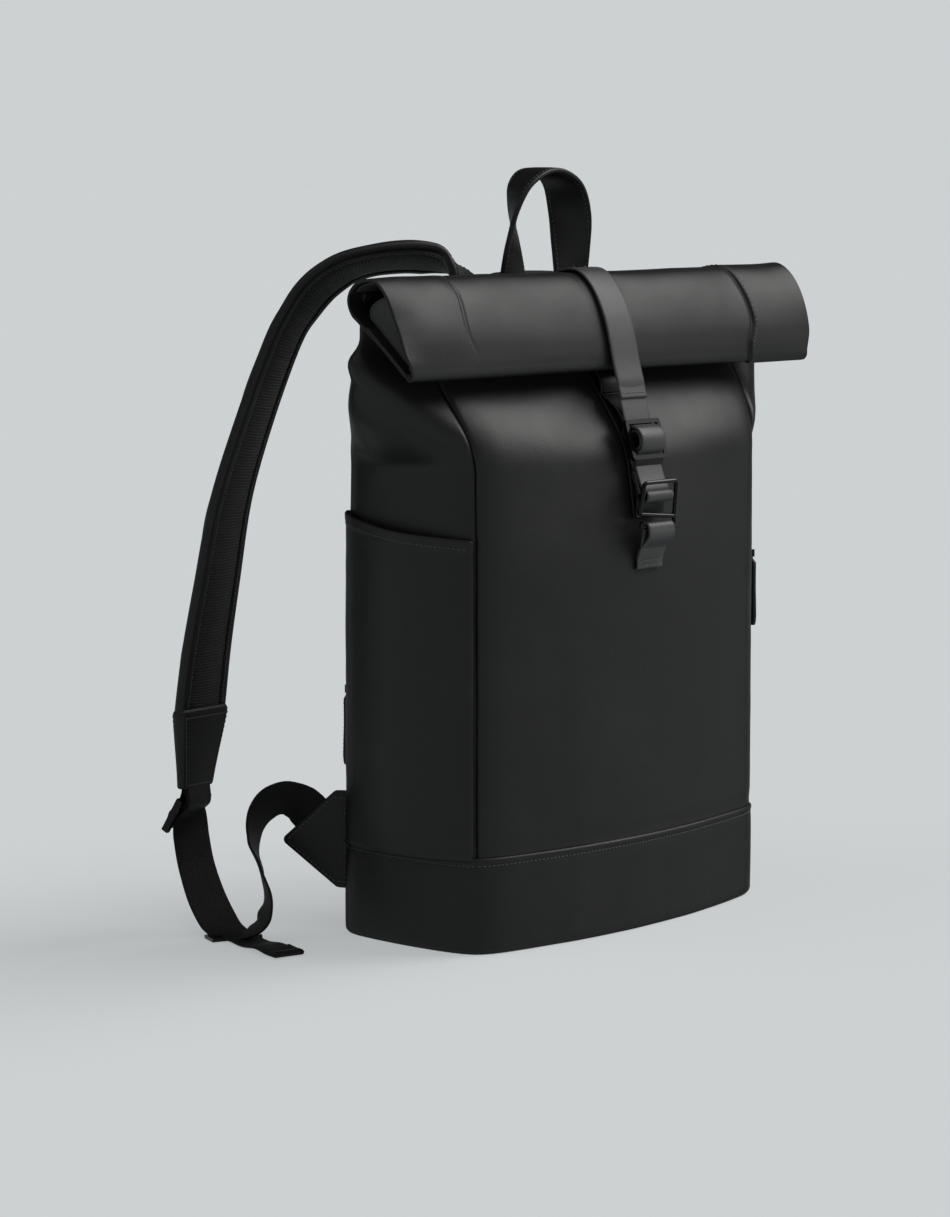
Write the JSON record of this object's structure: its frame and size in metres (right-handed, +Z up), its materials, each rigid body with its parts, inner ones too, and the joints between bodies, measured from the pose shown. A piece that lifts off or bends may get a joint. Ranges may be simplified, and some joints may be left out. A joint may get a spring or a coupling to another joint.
{
  "type": "roll-top backpack",
  "caption": "Roll-top leather backpack with a stiff base band, a side bottle pocket, a carrying handle, padded shoulder straps with webbing, and a strap that hooks the rolled top to the front.",
  "frame": {"origin": "middle of the bag's flat underside, on the floor plane", "axes": "+X runs along the width to the viewer's right when facing the front, -Y points out of the front with the closure strap, +Z is up"},
  "size_m": [0.4621, 0.3024, 0.5207],
  "materials": {
    "leather": "matte coated leather with a fine even grain and a soft sheen",
    "base_leather": "thicker matte coated leather, a little darker",
    "trim_leather": "matte coated leather with pressed edges and stitching",
    "air_mesh": "black spacer mesh with small open cells",
    "foam": "soft closed-cell padding foam",
    "lining": "plain woven black lining",
    "webbing": "black woven nylon webbing",
    "board": "stiff black board under the lining",
    "stiffener": "thin flexible strip sewn into the mouth hem",
    "metal": "satin black coated metal"
  },
  "bodies": {
    "bag": {"base_floor": "base_leather", "base_wrap": "base_leather", "base_board": "board", "front_panel": "leather", "side_panel_left": "leather", "side_panel_right": "leather", "back_panel": "air_mesh", "back_foam": "foam", "lining": "lining", "laptop_sleeve": "lining", "bottle_pocket": "leather", "side_zip_tape": "webbing", "back_zip_tape": "webbing", "strap_yoke": "trim_leather", "ladder_strip": "trim_leather", "hook_loop": "trim_leather", "closure_anchor": "trim_leather", "roll_back": "leather", "lower_tab_left": "trim_leather", "lower_tab_right": "trim_leather"},
    "roll": {"roll_outer": "leather", "roll_patch_left": "leather", "roll_patch_right": "leather", "closure_strap": "trim_leather", "closure_stud": "metal"},
    "mouth_hem": {"roll_inner": "leather", "mouth_stiffener": "stiffener"},
    "closure_tail": {"tail_web": "trim_leather"},
    "closure_slider": {"strap_slider": "metal", "slider_fold": "trim_leather"},
    "closure_hook": {"hook": "metal"},
    "handle": {"handle": "trim_leather"},
    "strap_left": {"pad_left": "trim_leather", "mesh_left": "air_mesh", "patch_left": "trim_leather", "short_web_left": "webbing", "adjuster_left": "webbing", "return_web_left": "webbing", "triglide_left": "metal", "web_end_left": "webbing"},
    "lock_left": {"ladder_lock_left": "metal"},
    "strap_right": {"pad_right": "trim_leather", "mesh_right": "air_mesh", "patch_right": "trim_leather", "short_web_right": "webbing", "adjuster_right": "webbing", "return_web_right": "webbing", "triglide_right": "metal", "web_end_right": "webbing"},
    "lock_right": {"ladder_lock_right": "metal"},
    "side_slider": {"side_zip_slider": "metal"},
    "side_puller": {"side_zip_puller": "trim_leather"},
    "back_slider": {"back_zip_slider": "metal"},
    "back_puller": {"back_zip_puller": "trim_leather"}
  },
  "joints": [
    {"name": "roll_open", "type": "hinge", "parent": "bag", "child": "roll", "pos_m": [0, -0.0038, 0.4383], "axis": [-1, 0, 0], "range_deg": [0, 52]},
    {"name": "roll_unfold", "type": "hinge", "parent": "roll", "child": "mouth_hem", "pos_m": [0, -0.055, 0.3874], "axis": [-1, 0, 0], "range_deg": [0, 52]},
    {"name": "closure_lift", "type": "hinge", "parent": "roll", "child": "closure_tail", "pos_m": [0, -0.0616, 0.387], "axis": [-1, 0, 0], "range_deg": [0, 70], "deforming": ["hook_loop"]},
    {"name": "slider_slide", "type": "slide", "parent": "closure_tail", "child": "closure_slider", "axis": [0, -0.2924, -0.9563], "range_m": [-0.01, 0.011]},
    {"name": "hook_swing", "type": "hinge", "parent": "closure_tail", "child": "closure_hook", "pos_m": [0, -0.0899, 0.2994], "axis": [-1, 0, 0], "range_deg": [0, 28]},
    {"name": "handle_fold", "type": "hinge", "parent": "bag", "child": "handle", "pos_m": [0, 0.013, 0.404], "axis": [-1, 0, 0], "range_deg": [-8, 16]},
    {"name": "strap_left_swing", "type": "hinge", "parent": "bag", "child": "strap_left", "pos_m": [-0.062, 0.025, 0.392], "axis": [-0.2869, 0.192, -0.9385], "range_deg": [0, 12]},
    {"name": "lock_left_tilt", "type": "hinge", "parent": "strap_left", "child": "lock_left", "pos_m": [-0.202, 0.155, 0.088], "axis": [0.9744, 0.225, 0], "range_deg": [0, 45]},
    {"name": "strap_right_swing", "type": "hinge", "parent": "bag", "child": "strap_right", "pos_m": [0.062, 0.025, 0.392], "axis": [-0.2869, -0.192, 0.9385], "range_deg": [0, 12]},
    {"name": "lock_right_tilt", "type": "hinge", "parent": "strap_right", "child": "lock_right", "pos_m": [0.145, 0.1745, 0.054], "axis": [0.9135, -0.4067, 0], "range_deg": [0, 45]},
    {"name": "side_zip_slide", "type": "slide", "parent": "bag", "child": "side_slider", "axis": [0, 0, 1], "range_m": [-0.13, 0]},
    {"name": "side_puller_swing", "type": "hinge", "parent": "side_slider", "child": "side_puller", "pos_m": [0.16213, -0.04637, 0.2447], "axis": [-0.2323, -0.9726, 0], "range_deg": [0, 100]},
    {"name": "back_zip_slide", "type": "slide", "parent": "bag", "child": "back_slider", "axis": [0, 0, 1], "range_m": [0, 0.1]},
    {"name": "back_puller_swing", "type": "hinge", "parent": "back_slider", "child": "back_puller", "pos_m": [-0.13734, 0.06835, 0.1667], "axis": [0.9746, 0.2241, 0], "range_deg": [0, 100]}
  ],
  "couplings": [
    {"joint": "roll_unfold", "follows": "roll_open", "ratio": 1}
  ]
}
